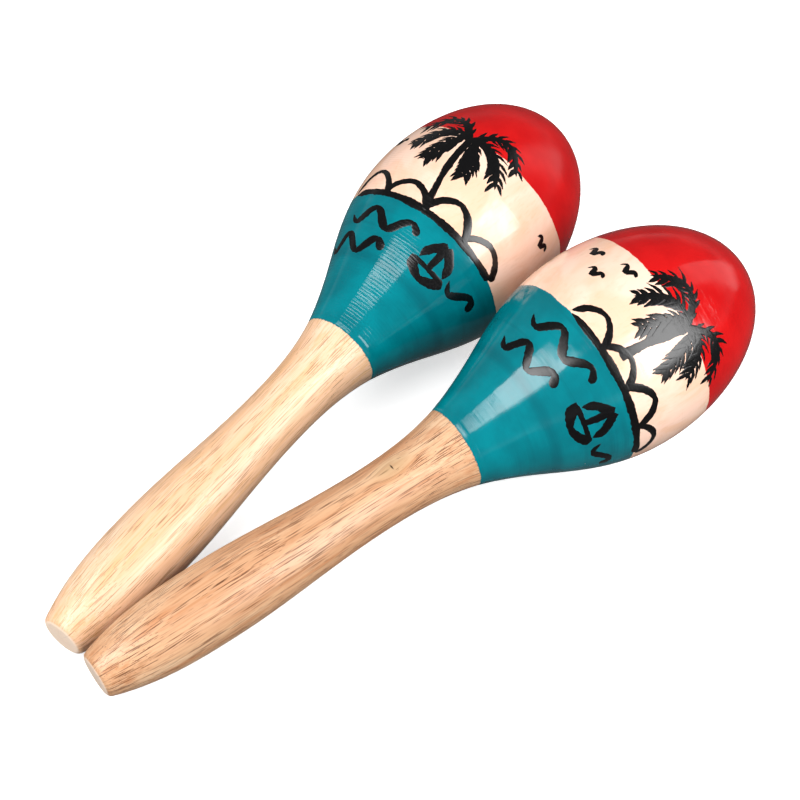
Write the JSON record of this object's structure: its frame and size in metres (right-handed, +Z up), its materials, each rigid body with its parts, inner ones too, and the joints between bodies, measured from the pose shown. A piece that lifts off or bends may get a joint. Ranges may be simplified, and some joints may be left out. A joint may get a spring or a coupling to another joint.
{
  "type": "maraca pair",
  "caption": "Turned wooden maracas lying side by side, each a hollow egg-shaped head on a shaped handle with loose rattle pellets sealed inside.",
  "frame": {"origin": "middle of the footprint of the lying pair, on the table", "axes": "+X from the grips to the heads, midway between the two maracas; +Y towards the left maraca; +Z up"},
  "size_m": [0.2681, 0.157, 0.0763],
  "materials": {
    "pale_handle_wood": "satin lacquer over pale rubberwood",
    "warm_handle_wood": "satin lacquer over pinkish rubberwood",
    "bowl_lacquer": "gloss paint below a clear-lacquered natural band",
    "cap_lacquer": "gloss paint",
    "pellet_steel": "tumbled bright"
  },
  "bodies": {
    "right_maraca": {"right_handle": "warm_handle_wood", "right_head_bowl": "bowl_lacquer", "right_head_cap": "cap_lacquer"},
    "right_pellet_row_1": {"right_pellet_row_1": "pellet_steel"},
    "right_pellet_row_2": {"right_pellet_row_2": "pellet_steel"},
    "right_pellet_row_3": {"right_pellet_row_3": "pellet_steel"},
    "right_pellet_row_4": {"right_pellet_row_4": "pellet_steel"},
    "right_pellet_row_5": {"right_pellet_row_5": "pellet_steel"},
    "right_pellet_top_1": {"right_pellet_top_1": "pellet_steel"},
    "right_pellet_top_2": {"right_pellet_top_2": "pellet_steel"},
    "right_pellet_top_3": {"right_pellet_top_3": "pellet_steel"},
    "right_pellet_top_4": {"right_pellet_top_4": "pellet_steel"},
    "right_pellet_top_5": {"right_pellet_top_5": "pellet_steel"},
    "right_pellet_top_6": {"right_pellet_top_6": "pellet_steel"},
    "left_maraca": {"left_handle": "pale_handle_wood", "left_head_bowl": "bowl_lacquer", "left_head_cap": "cap_lacquer"},
    "left_pellet_row_1": {"left_pellet_row_1": "pellet_steel"},
    "left_pellet_row_2": {"left_pellet_row_2": "pellet_steel"},
    "left_pellet_row_3": {"left_pellet_row_3": "pellet_steel"},
    "left_pellet_row_4": {"left_pellet_row_4": "pellet_steel"},
    "left_pellet_row_5": {"left_pellet_row_5": "pellet_steel"},
    "left_pellet_top_1": {"left_pellet_top_1": "pellet_steel"},
    "left_pellet_top_2": {"left_pellet_top_2": "pellet_steel"},
    "left_pellet_top_3": {"left_pellet_top_3": "pellet_steel"},
    "left_pellet_top_4": {"left_pellet_top_4": "pellet_steel"},
    "left_pellet_top_5": {"left_pellet_top_5": "pellet_steel"},
    "left_pellet_top_6": {"left_pellet_top_6": "pellet_steel"}
  },
  "joints": [
    {"name": "right_row_1_swirl", "type": "hinge", "parent": "right_maraca", "child": "right_pellet_row_1", "pos_m": [-0.13261, -0.00991, 0.00991], "axis": [0.9811, -0.1417, 0.132], "continuous": true},
    {"name": "right_row_2_swirl", "type": "hinge", "parent": "right_maraca", "child": "right_pellet_row_2", "pos_m": [-0.13261, -0.00991, 0.00991], "axis": [0.9811, -0.1417, 0.132], "continuous": true},
    {"name": "right_row_3_swirl", "type": "hinge", "parent": "right_maraca", "child": "right_pellet_row_3", "pos_m": [-0.13261, -0.00991, 0.00991], "axis": [0.9811, -0.1417, 0.132], "continuous": true},
    {"name": "right_row_4_swirl", "type": "hinge", "parent": "right_maraca", "child": "right_pellet_row_4", "pos_m": [-0.13261, -0.00991, 0.00991], "axis": [0.9811, -0.1417, 0.132], "continuous": true},
    {"name": "right_row_5_swirl", "type": "hinge", "parent": "right_maraca", "child": "right_pellet_row_5", "pos_m": [-0.13261, -0.00991, 0.00991], "axis": [0.9811, -0.1417, 0.132], "continuous": true},
    {"name": "right_top_1_toss", "type": "slide", "parent": "right_maraca", "child": "right_pellet_top_1", "axis": [-0.1306, 0.0189, 0.9913], "range_m": [0, 0.04739]},
    {"name": "right_top_2_toss", "type": "slide", "parent": "right_maraca", "child": "right_pellet_top_2", "axis": [-0.1306, 0.0189, 0.9913], "range_m": [0, 0.04902]},
    {"name": "right_top_3_toss", "type": "slide", "parent": "right_maraca", "child": "right_pellet_top_3", "axis": [-0.1306, 0.0189, 0.9913], "range_m": [0, 0.04902]},
    {"name": "right_top_4_toss", "type": "slide", "parent": "right_maraca", "child": "right_pellet_top_4", "axis": [-0.1306, 0.0189, 0.9913], "range_m": [0, 0.05044]},
    {"name": "right_top_5_toss", "type": "slide", "parent": "right_maraca", "child": "right_pellet_top_5", "axis": [-0.1306, 0.0189, 0.9913], "range_m": [0, 0.05064]},
    {"name": "right_top_6_toss", "type": "slide", "parent": "right_maraca", "child": "right_pellet_top_6", "axis": [-0.1306, 0.0189, 0.9913], "range_m": [0, 0.05064]},
    {"name": "left_row_1_swirl", "type": "hinge", "parent": "left_maraca", "child": "left_pellet_row_1", "pos_m": [-0.13121, 0.00991, 0.00991], "axis": [0.9811, 0.1417, 0.132], "continuous": true},
    {"name": "left_row_2_swirl", "type": "hinge", "parent": "left_maraca", "child": "left_pellet_row_2", "pos_m": [-0.13121, 0.00991, 0.00991], "axis": [0.9811, 0.1417, 0.132], "continuous": true},
    {"name": "left_row_3_swirl", "type": "hinge", "parent": "left_maraca", "child": "left_pellet_row_3", "pos_m": [-0.13121, 0.00991, 0.00991], "axis": [0.9811, 0.1417, 0.132], "continuous": true},
    {"name": "left_row_4_swirl", "type": "hinge", "parent": "left_maraca", "child": "left_pellet_row_4", "pos_m": [-0.13121, 0.00991, 0.00991], "axis": [0.9811, 0.1417, 0.132], "continuous": true},
    {"name": "left_row_5_swirl", "type": "hinge", "parent": "left_maraca", "child": "left_pellet_row_5", "pos_m": [-0.13121, 0.00991, 0.00991], "axis": [0.9811, 0.1417, 0.132], "continuous": true},
    {"name": "left_top_1_toss", "type": "slide", "parent": "left_maraca", "child": "left_pellet_top_1", "axis": [-0.1306, -0.0189, 0.9913], "range_m": [0, 0.04739]},
    {"name": "left_top_2_toss", "type": "slide", "parent": "left_maraca", "child": "left_pellet_top_2", "axis": [-0.1306, -0.0189, 0.9913], "range_m": [0, 0.04902]},
    {"name": "left_top_3_toss", "type": "slide", "parent": "left_maraca", "child": "left_pellet_top_3", "axis": [-0.1306, -0.0189, 0.9913], "range_m": [0, 0.04902]},
    {"name": "left_top_4_toss", "type": "slide", "parent": "left_maraca", "child": "left_pellet_top_4", "axis": [-0.1306, -0.0189, 0.9913], "range_m": [0, 0.05044]},
    {"name": "left_top_5_toss", "type": "slide", "parent": "left_maraca", "child": "left_pellet_top_5", "axis": [-0.1306, -0.0189, 0.9913], "range_m": [0, 0.05064]},
    {"name": "left_top_6_toss", "type": "slide", "parent": "left_maraca", "child": "left_pellet_top_6", "axis": [-0.1306, -0.0189, 0.9913], "range_m": [0, 0.05064]},
    {"name": "left_maraca_lift", "type": "slide", "parent": "right_maraca", "child": "left_maraca", "axis": [0, 0, 1], "range_m": [0, 0.12]}
  ]
}
